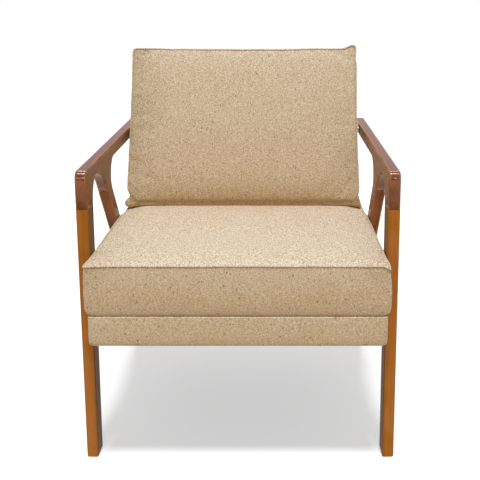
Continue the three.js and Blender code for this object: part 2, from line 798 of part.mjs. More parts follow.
// The origin is on the floor, at the middle of the footprint.
const bounds = new THREE.Box3().setFromObject(chair, true);
chair.position.y = -(bounds.min.y + bounds.max.y) / 2;

export default chair;
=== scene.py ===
import math

import bmesh
import bpy
from mathutils import Matrix, Vector, noise
from mathutils.bvhtree import BVHTree
from mathutils.kdtree import KDTree


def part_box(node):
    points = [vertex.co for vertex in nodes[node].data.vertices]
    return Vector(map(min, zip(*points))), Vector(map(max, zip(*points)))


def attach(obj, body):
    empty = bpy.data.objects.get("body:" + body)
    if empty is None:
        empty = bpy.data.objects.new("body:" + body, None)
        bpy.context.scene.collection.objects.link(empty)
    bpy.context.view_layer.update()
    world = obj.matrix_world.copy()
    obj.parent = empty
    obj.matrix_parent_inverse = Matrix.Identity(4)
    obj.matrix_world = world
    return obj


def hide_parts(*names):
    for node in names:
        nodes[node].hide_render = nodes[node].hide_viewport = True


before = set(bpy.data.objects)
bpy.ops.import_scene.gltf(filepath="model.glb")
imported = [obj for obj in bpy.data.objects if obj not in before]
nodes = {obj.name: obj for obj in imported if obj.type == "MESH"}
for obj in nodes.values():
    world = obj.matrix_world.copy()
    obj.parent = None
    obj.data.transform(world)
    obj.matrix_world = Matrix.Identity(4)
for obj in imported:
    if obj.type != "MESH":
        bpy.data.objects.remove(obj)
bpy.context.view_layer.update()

# A fireside chair: lacquered side frames, a padded seat box and back panel, two loose cushions.
# Metres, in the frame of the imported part. X runs across, Y from front to back, Z up.
mm = 0.001
quarterTurn = math.radians(90)
scene = bpy.context.scene

# How the seat and the back lie in the chair
chairLines = {
    "fall": math.radians(1.6),  # the seat falls towards the back
    "recline": math.radians(13.4),  # the back against the seat
    "toeIn": math.radians(2.0),  # the side frames turn in towards the back
    "rearLean": math.radians(41.5),  # the rear legs, from upright
    "boxBottom": 285 * mm,
    "boxHeight": 62 * mm,
    "backSetback": 576 * mm,  # front of the seat to the front of the back panel
    "legSetback": 73 * mm,  # front of the seat to the front legs
    "innerHalf": 305 * mm,  # middle of the chair to a frame's inner face, at its front
    "frameGap": 2 * mm,
}


# Helpers
def deselectAll():
    if bpy.context.object and bpy.context.object.mode != "OBJECT":
        bpy.ops.object.mode_set(mode="OBJECT")
    bpy.ops.object.select_all(action="DESELECT")


def makeActive(piece):
    deselectAll()
    piece.select_set(True)
    bpy.context.view_layer.objects.active = piece


def applyPlace(piece):
    makeActive(piece)
    bpy.ops.object.transform_apply(location=True, rotation=True, scale=True)


def takeNew(name):
    # the object that was just added, under its own name
    piece = bpy.context.object
    piece.name = piece.data.name = name
    return piece


def addBox(name, low, high):
    deselectAll()
    low, high = Vector(low), Vector(high)
    bpy.ops.mesh.primitive_cube_add(size=1, location=(low + high) / 2)
    piece = takeNew(name)
    piece.scale = high - low
    applyPlace(piece)
    return piece


def startEdit(piece):
    makeActive(piece)
    bpy.ops.object.mode_set(mode="EDIT")


def endEdit():
    bpy.ops.object.mode_set(mode="OBJECT")


def pick(piece, kind, test):
    # selects the edges or faces that pass a test
    bpy.ops.mesh.select_mode(type=kind)
    bpy.ops.mesh.select_all(action="DESELECT")
    mesh = bmesh.from_edit_mesh(piece.data)
    for item in mesh.edges if kind == "EDGE" else mesh.faces:
        item.select_set(bool(test(item)))
    mesh.select_flush_mode()
    bmesh.update_edit_mesh(piece.data)


def cutAcross(piece, axis, length, cell):
    # cuts the edges that run mostly along X, Y or Z
    def runsAlong(edge):
        way = edge.verts[1].co - edge.verts[0].co
        return abs(way[axis]) > 0.8 * way.length

    pick(piece, "EDGE", runsAlong)
    bpy.ops.mesh.subdivide(number_cuts=max(1, round(length / cell) - 1))


def setAll(thing, **values):
    for key, value in values.items():
        setattr(thing, key, value)


def applyModifier(piece, kind, **settings):
    makeActive(piece)
    modifier = piece.modifiers.new(kind.lower(), kind)
    setAll(modifier, **settings)
    bpy.ops.object.modifier_apply(modifier=modifier.name)


def smoothUp(piece):
    applyModifier(piece, "SUBSURF", levels=1, render_levels=1)


def shade(piece, angle=None):
    makeActive(piece)
    if angle is None:
        bpy.ops.object.shade_smooth()
    else:
        bpy.ops.object.shade_smooth_by_angle(angle=math.radians(angle))


def dress(piece, material):
    piece.data.materials.clear()
    piece.data.materials.append(material)


def keep(piece, material, slotName, *cadNodes):
    dress(piece, material)
    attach(piece, "root")
    if cadNodes:
        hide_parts(*cadNodes)


seatPlace = (
    Matrix.Translation((0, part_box("seat_box_cover")[0].y, chairLines["boxBottom"]))
    @ Matrix.Rotation(-chairLines["fall"], 4, "X")
)
backPlace = (
    seatPlace
    @ Matrix.Translation((0, chairLines["backSetback"], chairLines["boxHeight"]))
    @ Matrix.Rotation(-chairLines["recline"], 4, "X")
)


def placeWith(piece, place):
    piece.matrix_world = place
    applyPlace(piece)


def seatHalfWidth(depth):
    # half the width of the seat box at a depth from its front
    frameFace = chairLines["innerHalf"] + (chairLines["legSetback"] - depth) * math.tan(chairLines["toeIn"])
    return frameFace - chairLines["frameGap"]


def isAt(value, target):
    return abs(value - target) < 0.01 * mm


def lift(value, low, high):
    # 0 below low, 1 above high, soft between
    share = min(1, max(0, (value - low) / (high - low)))
    return share * share * (3 - 2 * share)


def wander(place, size, seed):
    # smooth noise from -1 to 1, with bumps about this size
    return noise.noise(place / size + Vector((seed * 17.3, seed * 5.1, seed * 9.7)))


# Materials
def tone(red, green, blue):
    # a colour as it looks on screen, 0 to 255
    def linear(value):
        value = value / 255
        return value / 12.92 if value <= 0.04045 else ((value + 0.055) / 1.055) ** 2.4
    return (linear(red), linear(green), linear(blue), 1)


def feed(tree, sockets, values):
    # links each socket to another node's output, or sets it to a plain value
    for key, value in values.items():
        if isinstance(value, bpy.types.NodeSocket):
            tree.links.new(value, sockets[key])
        else:
            sockets[key].default_value = value


def addNode(tree, kind, inputs=None, **settings):
    node = tree.nodes.new("ShaderNode" + kind)
    setAll(node, **settings)
    feed(tree, node.inputs, inputs or {})
    return node


def newGroup(name, inputs, outputs):
    group = bpy.data.node_groups.new(name, "ShaderNodeTree")
    for way, sockets in (("INPUT", inputs), ("OUTPUT", outputs)):
        for label, kind in sockets.items():
            group.interface.new_socket(name=label, in_out=way, socket_type="NodeSocket" + kind)
    return group, group.nodes.new("NodeGroupInput").outputs, group.nodes.new("NodeGroupOutput").inputs


def calc(tree, operation, first, second=0.0, clamp=False):
    return addNode(tree, "Math", {0: first, 1: second}, operation=operation, use_clamp=clamp).outputs[0]


def times(tree, first, second, clamp=False):
    return calc(tree, "MULTIPLY", first, second, clamp)


def stretch(tree, place, scales):
    return addNode(tree, "VectorMath", {0: place, 1: scales}, operation="MULTIPLY").outputs[0]


def spread(tree, value, low, high):
    # 0 below low, 1 above high
    node = addNode(tree, "MapRange", {"Value": value, "From Min": low, "From Max": high},
                   interpolation_type="SMOOTHSTEP")
    return node.outputs["Result"]


def blendColours(tree, share, first, second):
    return addNode(tree, "Mix", {"Factor": share, 6: first, 7: second}, data_type="RGBA").outputs[2]


def noiseAt(tree, place, scale, detail=2.0, roughness=0.5):
    inputs = {"Vector": place, "Scale": scale, "Detail": detail, "Roughness": roughness}
    return addNode(tree, "TexNoise", inputs).outputs["Fac"]


def surfaceAlong(tree, what, axis):
    # one part of a point's Position, or of the Normal of its face
    vector = addNode(tree, "NewGeometry").outputs[what]
    return addNode(tree, "SeparateXYZ", {"Vector": vector}).outputs[axis]


# Timber. The higher a noise's scale, the finer it is
coatIor = 1.36
bumpDepths = {"timber": 0.4 * mm, "tweed": 1.2 * mm, "strands": 0.6 * mm}
grainLook = {
    "ringRun": 0.05,  # rings and clouds are drawn out along the grain by this scale
    "fibreRun": 0.02,  # and fibres and pores by this one
    "ringBend": 3.0,
    "fibres": 620.0,
    "clouds": 22.0,
    "pores": 1300.0,
    "ringShare": 0.34,
    "fibreShare": 0.36,
    "cloudShare": 0.3,
    "poreShare": 0.45,
    "glossDrift": 0.12,
    "wearPatches": 13.0,
}


def grainGroup(look):
    # growth rings, fibres and pores that run along local Z
    group, given, result = newGroup(
        "timberGrain",
        {"Place": "Vector", "Light": "Color", "Dark": "Color", "Rings": "Float"},
        {"Color": "Color", "Fibre": "Float", "Gloss": "Float"},
    )
    long = stretch(group, given["Place"], (1, 1, look["ringRun"]))
    fine = stretch(group, given["Place"], (1, 1, look["fibreRun"]))
    rings = addNode(group, "TexWave", {
        "Vector": long, "Scale": given["Rings"], "Distortion": look["ringBend"],
        "Detail": 2.0, "Detail Scale": 1.0,
    }, wave_type="RINGS", rings_direction="Z").outputs["Fac"]
    fibres = noiseAt(group, fine, look["fibres"], 3.0)
    clouds = noiseAt(group, long, look["clouds"])
    pores = noiseAt(group, fine, look["pores"], 1.0)
    ringShare = times(group, rings, look["ringShare"])
    fibreShare = times(group, spread(group, fibres, 0.3, 0.7), look["fibreShare"])
    cloudShare = times(group, spread(group, clouds, 0.3, 0.7), look["cloudShare"])
    share = calc(group, "ADD", calc(group, "ADD", ringShare, fibreShare), cloudShare, True)
    colour = blendColours(group, share, given["Dark"], given["Light"])
    poreShare = times(group, spread(group, pores, 0.6, 0.68), look["poreShare"])
    feed(group, result, {
        "Color": blendColours(group, poreShare, colour, given["Dark"]),
        "Fibre": calc(group, "SUBTRACT", fibres, poreShare),
        "Gloss": times(group, clouds, look["glossDrift"]),
    })
    return group


def wearAndHighlightGroup(look):
    # where a marked edge is paler: partly lacquer rubbed through, partly a painted highlight along the
    # rounded edge
    group, given, result = newGroup(
        "edgeWearAndHighlight", {"Place": "Vector", "Edge": "Float", "Amount": "Float"}, {"Mask": "Float"},
    )
    patches = noiseAt(group, given["Place"], look["wearPatches"])
    rubbed = times(group, spread(group, patches, 0.3, 0.6), given["Edge"])
    feed(group, result, {"Mask": times(group, rubbed, given["Amount"], True)})
    return group


# Cloth
weaveLook = {
    "mottle": 840.0,
    "clumps": 380.0,
    "drift": 6.0,
    "driftShare": 0.12,
    "threads": 1100.0,
    "bend": 300.0,  # the slubs are bent by a noise of this scale
    "bendReach": 6 * mm,
    "slubShape": (1, 0.7, 0.7),
    "paleSlub": tone(244, 230, 206),
    # painted shade: the colour deepens beside the seams and along the shaded sides
    "seamShadeShare": 0.62,  # how far the colour deepens at a seam
    "seamShadeSaturation": 1.25,
    "seamShadeValue": 0.68,
    "roughness": 0.58,
    "roughnessDrift": 0.2,
    # how strongly the painted sheen follows the mottle
    "sheenMottle": 1.08,
}


def tweedGroup(look):
    # a mottled weave with dark and pale slubs, with painted shade that deepens the colour beside the seams
    # and along the shaded sides
    group, given, result = newGroup(
        "fleckedTweed",
        {"Place": "Vector", "Base": "Color", "Pale": "Color", "Fleck": "Color", "Seam": "Float"},
        {"Color": "Color", "Height": "Float", "Roughness": "Float", "SheenMottle": "Float"},
    )
    place, base, fleck = given["Place"], given["Base"], given["Fleck"]
    mottle = noiseAt(group, place, look["mottle"], 2.0, 0.6)
    clumps = noiseAt(group, place, look["clumps"])
    drift = noiseAt(group, place, look["drift"])
    threads = noiseAt(group, place, look["threads"], 1.0)
    both = calc(group, "ADD", times(group, mottle, 0.5), times(group, clumps, 0.5))
    colour = blendColours(group, spread(group, both, 0.41, 0.6), base, given["Pale"])
    bend = addNode(group, "TexNoise", {"Vector": place, "Scale": look["bend"], "Detail": 1.0})
    bent = addNode(group, "VectorMath", {0: bend.outputs["Color"], 1: [look["bendReach"]] * 3, 2: place},
                   operation="MULTIPLY_ADD").outputs[0]
    slubPlace = stretch(group, bent, look["slubShape"])
    # each kind of slub: its scale, how many of the cells have one, and its strength and colour
    for scale, keptShare, strength, slubColour in (
        (240.0, 0.34, 0.62, fleck),
        (160.0, 0.14, 0.9, fleck),
        (220.0, 0.25, 0.6, look["paleSlub"]),
    ):
        cells = addNode(group, "TexVoronoi", {"Vector": slubPlace, "Scale": scale, "Randomness": 1.0}).outputs
        chance = addNode(group, "SeparateColor", {"Color": cells["Color"]}).outputs[0]
        kept = calc(group, "LESS_THAN", chance, keptShare)
        spot = calc(group, "SUBTRACT", 1.0, spread(group, cells["Distance"], 0.14, 0.32))
        colour = blendColours(group, times(group, times(group, spot, kept), strength), colour, slubColour)
    shadeShare = times(group, spread(group, drift, 0.35, 0.7), look["driftShare"])
    colour = blendColours(group, shadeShare, colour, base)
    shadedColour = addNode(group, "HueSaturation", {
        "Saturation": look["seamShadeSaturation"], "Value": look["seamShadeValue"], "Color": colour,
    }).outputs["Color"]
    feed(group, result, {
        "Color": blendColours(group, times(group, given["Seam"], look["seamShadeShare"], True), colour, shadedColour),
        "Height": calc(group, "ADD", times(group, mottle, 0.7), times(group, threads, 0.3)),
        "Roughness": calc(group, "ADD", look["roughness"], times(group, mottle, look["roughnessDrift"])),
        # the mottle that the painted sheen follows
        "SheenMottle": times(group, spread(group, both, 0.42, 0.59), look["sheenMottle"]),
    })
    return group


def strandGroup():
    # crossing strands, for webbing and cloth
    group, given, result = newGroup(
        "crossedStrands",
        {"Place": "Vector", "Low": "Color", "High": "Color", "Pitch": "Float"},
        {"Color": "Color", "Height": "Float"},
    )
    lengthwise, crosswise = [
        addNode(group, "TexWave", {"Vector": given["Place"], "Scale": given["Pitch"], "Distortion": 0.4},
                wave_type="BANDS", bands_direction=way).outputs["Fac"] for way in "XY"
    ]
    height = times(group, lengthwise, crosswise)
    feed(group, result, {"Color": blendColours(group, height, given["Low"], given["High"]), "Height": height})
    return group


timberGrain = grainGroup(grainLook)
edgeWearAndHighlight = wearAndHighlightGroup(grainLook)
fleckedTweed = tweedGroup(weaveLook)
crossedStrands = strandGroup()


def newMaterial(name):
    material = bpy.data.materials.new(name)
    material.use_nodes = True
    tree = material.node_tree
    return material, tree, tree.nodes["Principled BSDF"].inputs


def useGroup(tree, group, inputs):
    return addNode(tree, "Group", inputs, node_tree=group).outputs


def addBump(tree, surface, height, strength, depth):
    bump = addNode(tree, "Bump", {"Height": height, "Strength": strength, "Distance": depth})
    feed(tree, surface, {"Normal": bump.outputs["Normal"]})


def timberMaterial(name, look):
    material, tree, surface = newMaterial(name)
    place = addNode(tree, "TexCoord").outputs["Object"]
    turned = addNode(tree, "Mapping", {
        "Vector": place, "Location": look.get("shift", (0, 0, 0)), "Rotation": look.get("turn", (0, 0, 0)),
    }).outputs["Vector"]
    grain = useGroup(tree, timberGrain, {
        "Place": turned, "Light": look["light"], "Dark": look["dark"], "Rings": look["rings"],
    })
    colour = grain["Color"]
    if "wearAndPaintedLight" in look:
        # pale rounded edges: partly worn lacquer, partly a painted highlight
        edge = addNode(tree, "Attribute", attribute_name="edge").outputs["Fac"]
        wearAndHighlight = useGroup(tree, edgeWearAndHighlight, {"Place": place, "Edge": edge, "Amount": look["wearAndHighlight"]})
        colour = blendColours(tree, wearAndHighlight["Mask"], colour, look["wearAndPaintedLight"])
    if "innerShade" in look:
        # painted shade: the sides that look into the chair are darkened, as if the chair shades them
        outward = times(tree, surfaceAlong(tree, "Position", "X"), surfaceAlong(tree, "Normal", "X"))
        inner = spread(tree, times(tree, outward, -1.0), *look["innerFrom"])
        colour = blendColours(tree, times(tree, inner, look["innerShade"]), colour, look["innerShadeTone"])
    feed(tree, surface, {
        "Base Color": colour,
        "Roughness": calc(tree, "ADD", look["roughness"], grain["Gloss"]),
        "Specular IOR Level": look["gloss"],
        "Coat Weight": look["coat"],
        "Coat IOR": coatIor,
        "Coat Roughness": look["coatRoughness"],
    })
    if "rubbed" in look:
        # hands have taken some of the gloss off the faces that look up
        upward = spread(tree, surfaceAlong(tree, "Normal", "Z"), look["rubbedFrom"], 1.0)
        kept = calc(tree, "SUBTRACT", look["coat"], times(tree, upward, look["rubbed"]))
        feed(tree, surface, {"Coat Weight": kept})
    addBump(tree, surface, grain["Fibre"], look["relief"], bumpDepths["timber"])
    return material


def tweedMaterial(name, look):
    material, tree, surface = newMaterial(name)
    place = stretch(tree, addNode(tree, "TexCoord").outputs["Object"], (1, look["depthScale"], 1))
    seam = addNode(tree, "Attribute", attribute_name="seam").outputs["Fac"]
    weave = useGroup(tree, fleckedTweed, {
        "Place": place, "Base": look["base"], "Pale": look["pale"], "Fleck": look["fleck"], "Seam": seam,
    })
    # painted sheen: the faces that look up are mixed towards a paler tone, as if lit from above
    upward = calc(tree, "MAXIMUM", surfaceAlong(tree, "Normal", "Z"), 0.0)
    paintedSheenShare = times(tree, calc(tree, "POWER", upward, look["paintedSheenFall"]), look["paintedSheen"])
    paintedSheenShare = times(tree, paintedSheenShare, weave["SheenMottle"], True)
    feed(tree, surface, {
        "Base Color": blendColours(tree, paintedSheenShare, weave["Color"], look["paintedSheenTone"]),
        "Roughness": weave["Roughness"],
        "Sheen Weight": look["sheen"],
        "Sheen Roughness": look["sheenRoughness"],
        "Sheen Tint": look["sheenTone"],
        "Specular IOR Level": look["gloss"],
    })
    addBump(tree, surface, weave["Height"], look["relief"], bumpDepths["tweed"])
    return material


def strandMaterial(name, look):
    material, tree, surface = newMaterial(name)
    place = addNode(tree, "TexCoord").outputs["Object"]
    strands = useGroup(tree, crossedStrands, {
        "Place": place, "Low": look["low"], "High": look["high"], "Pitch": look["pitch"],
    })
    feed(tree, surface, {"Base Color": strands["Color"], "Roughness": 0.9})
    addBump(tree, surface, strands["Height"], 0.5, bumpDepths["strands"])
    return material


def steelMaterial(name, look):
    material, tree, surface = newMaterial(name)
    drawn = stretch(tree, addNode(tree, "TexCoord").outputs["Object"], look["marks"])
    marks = noiseAt(tree, drawn, 1.0)
    feed(tree, surface, {
        "Base Color": blendColours(tree, marks, look["dark"], look["light"]),
        "Roughness": calc(tree, "ADD", look["roughness"], times(tree, marks, look["roughnessDrift"])),
        "Metallic": 1.0,
    })
    return material


lacquer = {
    "coat": 0.62,
    "coatRoughness": 0.08,
    "roughness": 0.4,
    "gloss": 0.03,
    "rubbed": 0.28,
    "rubbedFrom": 0.97,
    "relief": 0.08,
    # worn lacquer and painted highlight along the rounded edges
    "wearAndHighlight": 0.42,
    "wearAndPaintedLight": tone(190, 118, 62),
    # painted shade on the sides that look into the chair
    "innerShadeTone": tone(66, 34, 15),
    "innerFrom": (0.2, 0.27),  # metres from the middle, times how squarely a face looks inwards
    "rings": 34.0,
}
railTimber = timberMaterial("railLacquer", {
    **lacquer, "light": tone(134, 74, 40), "dark": tone(94, 48, 26),
    "turn": (quarterTurn, 0, 0), "shift": (0.11, 0.4, 0.03),
})
legTimber = timberMaterial("frontLegLacquer", {
    **lacquer, "light": tone(183, 115, 29), "dark": tone(151, 87, 19), "innerShade": 0.62,
    "coat": 0.1, "shift": (0.23, 0.12, 0.0),
})
rearLegTimber = timberMaterial("rearLegLacquer", {
    **lacquer, "light": tone(158, 96, 42), "dark": tone(116, 66, 28), "innerShade": 0.3,
    "turn": (-chairLines["rearLean"], 0, 0), "shift": (0.05, 0.31, 0.0),
})
bareTimber = {"coat": 0.0, "coatRoughness": 0.5, "roughness": 0.55, "gloss": 0.15, "relief": 0.3}
dowelTimber = timberMaterial("dowelBeech", {
    **bareTimber, "light": tone(214, 176, 122), "dark": tone(178, 136, 86), "rings": 60.0,
})
pine = {**bareTimber, "light": tone(222, 188, 134), "dark": tone(184, 138, 84), "rings": 30.0}
pineX = timberMaterial("pineAcross", {**pine, "turn": (0, quarterTurn, 0)})
pineY = timberMaterial("pineLengthways", {**pine, "turn": (quarterTurn, 0, 0)})
pineZ = timberMaterial("pineUpright", {**pine, "turn": (-chairLines["fall"] - chairLines["recline"], 0, 0)})
tweed = {
    "base": tone(186, 152, 109),
    "pale": tone(216, 190, 153),
    "fleck": tone(108, 74, 36),
    "depthScale": 0.45,  # less than 1 draws the slubs out along the seat's depth
    "gloss": 0.18,
    "sheen": 0.25,
    "sheenRoughness": 0.5,
    "sheenTone": tone(255, 240, 214),
    # painted sheen on the faces that look up
    "paintedSheen": 0.9,
    "paintedSheenFall": 0.6,
    "paintedSheenTone": tone(229, 222, 206),
    "relief": 0.7,
}
cushionTweed = tweedMaterial("cushionTweed", tweed)
coverTweed = tweedMaterial("coverTweed", {**tweed, "base": tone(186, 153, 110), "pale": tone(214, 189, 151)})
# a darker copy of the tweed for the seam lips: painted shade along the seams
shadedSeamTweed = tweedMaterial("shadedSeamTweed", {**tweed, "base": tone(171, 137, 95), "pale": tone(201, 173, 134)})
webbing = strandMaterial("elasticWebbing", {"low": tone(24, 22, 20), "high": tone(66, 60, 54), "pitch": 130})
dustCloth = strandMaterial("dustCloth", {"low": tone(14, 14, 14), "high": tone(40, 39, 38), "pitch": 320})
zinc = steelMaterial("zincSteel", {
    "dark": tone(140, 143, 148), "light": tone(196, 199, 202), "marks": (60, 900, 900),
    "roughness": 0.3, "roughnessDrift": 0.2,
})
print("materials made")


# Timber side frames
timberEdges = {
    "flat": 0.97,  # a face that looks this much along X is a board's broad side
    "narrow": 0.15,  # and less than this its narrow side; the rest are the rounded edges
    "rim": 1.5 * mm,  # where the broad and narrow sides start to be flat
    "smoothAngle": 50,
    "flatAngle": 0.5,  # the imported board's triangles that differ by less than this are one face
}
weldGap = 0.02 * mm


def paintPoints(piece, name, values):
    piece.data.attributes.new(name, "FLOAT", "POINT").data.foreach_set("value", values)


def markEdges(piece):
    # an attribute that is 1 along rounded edges, for the worn lacquer and the painted highlight there
    rounded = set()
    for face in piece.data.polygons:
        if timberEdges["narrow"] <= abs(face.normal.x) <= timberEdges["flat"]:
            rounded.update(face.vertices)
    paintPoints(piece, "edge", [float(i in rounded) for i in range(len(piece.data.vertices))])


def editPacked(nodeName, name):
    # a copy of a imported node, in edit mode, with its loose triangles joined
    deselectAll()
    piece = nodes[nodeName].copy()
    piece.data = nodes[nodeName].data.copy()
    for key in list(piece.keys()):
        del piece[key]
    piece.parent = None
    scene.collection.objects.link(piece)
    piece.name = piece.data.name = name
    startEdit(piece)
    bpy.ops.mesh.select_all(action="SELECT")
    bpy.ops.mesh.remove_doubles(threshold=weldGap)
    return piece


def timberPiece(nodeName, name, material, slotName):
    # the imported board, with flat sides and rounded edges that shade softly
    piece = editPacked(nodeName, name)
    bpy.ops.mesh.dissolve_limited(angle_limit=math.radians(timberEdges["flatAngle"]))
    for low, high in ((timberEdges["flat"], 2), (-1, timberEdges["narrow"])):
        pick(piece, "FACE", lambda f: low < abs(f.normal.x) < high)
        bpy.ops.mesh.inset(thickness=timberEdges["rim"], use_even_offset=True)
    endEdit()
    markEdges(piece)
    shade(piece, timberEdges["smoothAngle"])
    keep(piece, material, slotName, nodeName)


for word in ("left", "right"):
    timberPiece(f"{word}_arm_rail", f"{word}ArmRail", railTimber, "lacquered_rail_wood")
    timberPiece(f"{word}_front_leg", f"{word}FrontLeg", legTimber, "lacquered_leg_wood")
    timberPiece(f"{word}_rear_leg", f"{word}RearLeg", rearLegTimber, "lacquered_leg_wood")
    timberPiece(f"{word}_arm_plug", f"{word}ArmPlug", railTimber, "lacquered_rail_wood")
hiddenLooks = (
    (dowelTimber, ["dowel"]),
    (zinc, ["bolt"]),
    (pineX, ["seat_front_rail", "seat_rear_rail", "back_top_rail", "back_bottom_rail"]),
    (pineY, ["seat_left_rail", "seat_right_rail", "corner_block"]),
    (pineZ, ["stile"]),
)
for name, node in nodes.items():
    for material, words in hiddenLooks:
        if any(word in name for word in words):
            dress(node, material)
print("timber dressed")


# Padded pieces
padAngle = 40


def addPad(name, low, high, cell):
    # a box of even quads
    piece = addBox(name, low, high)
    startEdit(piece)
    for axis in range(3):
        cutAcross(piece, axis, high[axis] - low[axis], cell)
    endEdit()
    return piece


def addCushion(name, low, high, cell):
    piece = addPad(name, low, high, cell)
    for axis in range(3):
        gatherRows(piece, axis, low[axis], high[axis])
    return piece


def deleteFaces(piece, test):
    startEdit(piece)
    pick(piece, "FACE", test)
    bpy.ops.mesh.delete(type="FACE")
    endEdit()


def gatherRows(piece, axis, low, high, pull=0.6, reach=14 * mm):
    # draws the rows of quads together near both ends, where the seams are
    for v in piece.data.vertices:
        value = v.co[axis]
        inset = min(value - low, high - value)
        moved = inset * (1 - pull * math.exp(-inset / reach))
        v.co[axis] = low + moved if value - low < high - value else high - moved


def taperAcross(piece, halfWidth, axis, halfWidthAt):
    # scales each row of the pad to its own half width
    for v in piece.data.vertices:
        v.co.x *= halfWidthAt(v.co[axis]) / halfWidth


def roundPlan(piece, radiusAt, halfWidthAt, axis, ends):
    # turns the square corners of the pad's outline into round ones, and keeps its rows of quads
    low, high = ends
    for v in piece.data.vertices:
        half, radius = halfWidthAt(v.co[axis]), radiusAt(v.co)
        a = abs(v.co.x) - (half - radius)
        nearHigh = v.co[axis] > (low + high) / 2
        b = v.co[axis] - (high - radius) if nearHigh else (low + radius) - v.co[axis]
        if a <= 0 or b <= 0:
            continue
        share = max(a, b) / math.hypot(a, b)
        v.co.x = math.copysign(half - radius + a * share, v.co.x)
        v.co[axis] = high - radius + b * share if nearHigh else low + radius - b * share


def flatAt(piece, axis, level):
    return {v.index for v in piece.data.vertices if isAt(v.co[axis], level)}


def loopAt(piece, axis, level, sharp=0.5):
    # the vertices around one flat face, in order, along edges that turn by more radians than this
    mesh = bmesh.new()
    mesh.from_mesh(piece.data)
    mesh.verts.ensure_lookup_table()
    chosen = [v for v in mesh.verts if isAt(v.co[axis], level)]
    marked = {v.index for v in chosen}
    first = here = min(chosen, key=lambda v: tuple(v.co))
    order = [here.index]
    while True:
        step = [e.other_vert(here) for e in here.link_edges if abs(e.calc_face_angle(0)) > sharp]
        step = [v for v in step if v.index in marked and v.index not in order] or [first]
        here = step[0]
        if here is first:
            break
        order.append(here.index)
    mesh.free()
    return order


def puff(piece, look, pinned, face, quality=5, mass=0.3, frames=20):
    # cloth under pressure, held at its seams; away from its face it keeps only part of its new shape
    rest = [v.co.copy() for v in piece.data.vertices]
    group = piece.vertex_groups.new(name="sewn")
    group.add(sorted(pinned), 1.0, "REPLACE")
    makeActive(piece)
    cloth = piece.modifiers.new("padding", "CLOTH")
    stiff = look["stiffness"]
    setAll(cloth.settings, quality=quality, mass=mass, shrink_min=-look["fullness"],
           tension_stiffness=stiff, compression_stiffness=stiff, shear_stiffness=stiff / 3,
           bending_stiffness=look["bending"], vertex_group_mass="sewn",
           use_pressure=True, uniform_pressure_force=look["pressure"])
    cloth.settings.effector_weights.gravity = 0
    setAll(cloth.point_cache, frame_start=1, frame_end=frames)
    for moment in range(1, frames + 1):
        scene.frame_set(moment)
    bpy.ops.object.modifier_apply(modifier=cloth.name)
    scene.frame_set(1)
    for v, start in zip(piece.data.vertices, rest):
        move = v.co - start
        if move.length > 1e-6:
            move *= look["cap"] * math.tanh(move.length / look["cap"]) / move.length
        folds = 1 if v.index in face else look["sideFolds"] * lift(start.z, *look["foldRises"])
        v.co = start + move * folds
    piece.vertex_groups.clear()


def settleFace(piece, face, axis, level, crown, fullnessAt, fold=0.6):
    # a swollen face keeps part of the folds of the cloth, and rises only as far as its crown
    rises = {i: abs(piece.data.vertices[i].co[axis] - level) for i in face}
    most = max(rises.values())
    for i in face:
        co = piece.data.vertices[i].co
        share = rises[i] / most if most > 1 * mm else fullnessAt(co)
        co[axis] = level + crown * (fold * share + (1 - fold) * fullnessAt(co))


def dome(across, along):
    # 1 in the middle of a face, 0 along its edges
    return ((1 - min(1, abs(across)) ** 2) * (1 - min(1, abs(along)) ** 2)) ** 0.5


def pointTree(points):
    tree = KDTree(len(points))
    for i, co in enumerate(points):
        tree.insert(co, i)
    tree.balance()
    return tree


def paintSeamShade(piece, lines, wearAndPaintedLight, look, narrow=3.5 * mm, depth=0.6):
    # painted shade: how deep the cloth's colour is, in a narrow band at every seam and in a wide one along
    # the shaded sides
    sewn = pointTree([co for line in lines for co in line])
    shadedSides = pointTree(wearAndPaintedLight)
    values = []
    for v in piece.data.vertices:
        close = depth * math.exp(-(sewn.find(v.co)[2] / narrow) ** 2)
        values.append(close + look["sideShadeShare"] * math.exp(-(shadedSides.find(v.co)[2] / look["sideShadeBand"]) ** 2))
    paintPoints(piece, "seam", values)


def creaseLoop(piece, order, value):
    pairs = {frozenset(pair) for pair in zip(order, order[1:] + order[:1])}
    startEdit(piece)
    pick(piece, "EDGE", lambda e: frozenset(v.index for v in e.verts) in pairs)
    bpy.ops.transform.edge_crease(value=value)
    endEdit()


def finishCushion(cushion, look, orders, isShadedSide, place, nodeName):
    # smooth between its creased seams, coloured and in its place; returns the points of the seams
    for order, crease in zip(orders, look["creases"]):
        creaseLoop(cushion, order, crease)
    seams = [[cushion.data.vertices[i].co.copy() for i in order] for order in orders]
    smoothUp(cushion)
    paintSeamShade(cushion, seams, [co for line in seams for co in line if isShadedSide(co)], look)
    placeWith(cushion, place)
    shade(cushion)
    keep(cushion, cushionTweed, "cushion_fabric", nodeName)
    return [[place @ co for co in line] for line in seams]


def addSeam(name, points, look, widths=None, strayRun=45 * mm, unevenRun=20 * mm):
    # the sewn edge: a thin lip of fabric, a little uneven, dressed in a darker copy of the tweed as painted
    # shade along the seam
    curve = bpy.data.curves.new(name, "CURVE")
    setAll(curve, dimensions="3D", bevel_depth=look["lip"], bevel_resolution=2)
    spline = curve.splines.new("POLY")
    spline.points.add(len(points) - 1)
    for i, (place, point) in enumerate(zip(points, spline.points)):
        stray = Vector(wander(place, strayRun, seed) for seed in (2, 4, 6)) * look["stray"]
        point.co = (*(place + stray), 1)
        point.radius = (widths[i] if widths else 1) * (1 + look["uneven"] * wander(place, unevenRun, 3))
    spline.use_cyclic_u = True
    piece = bpy.data.objects.new(name, curve)
    scene.collection.objects.link(piece)
    makeActive(piece)
    bpy.ops.object.convert(target="MESH")
    piece = takeNew(name)
    shade(piece)
    keep(piece, shadedSeamTweed, "cushion_fabric")


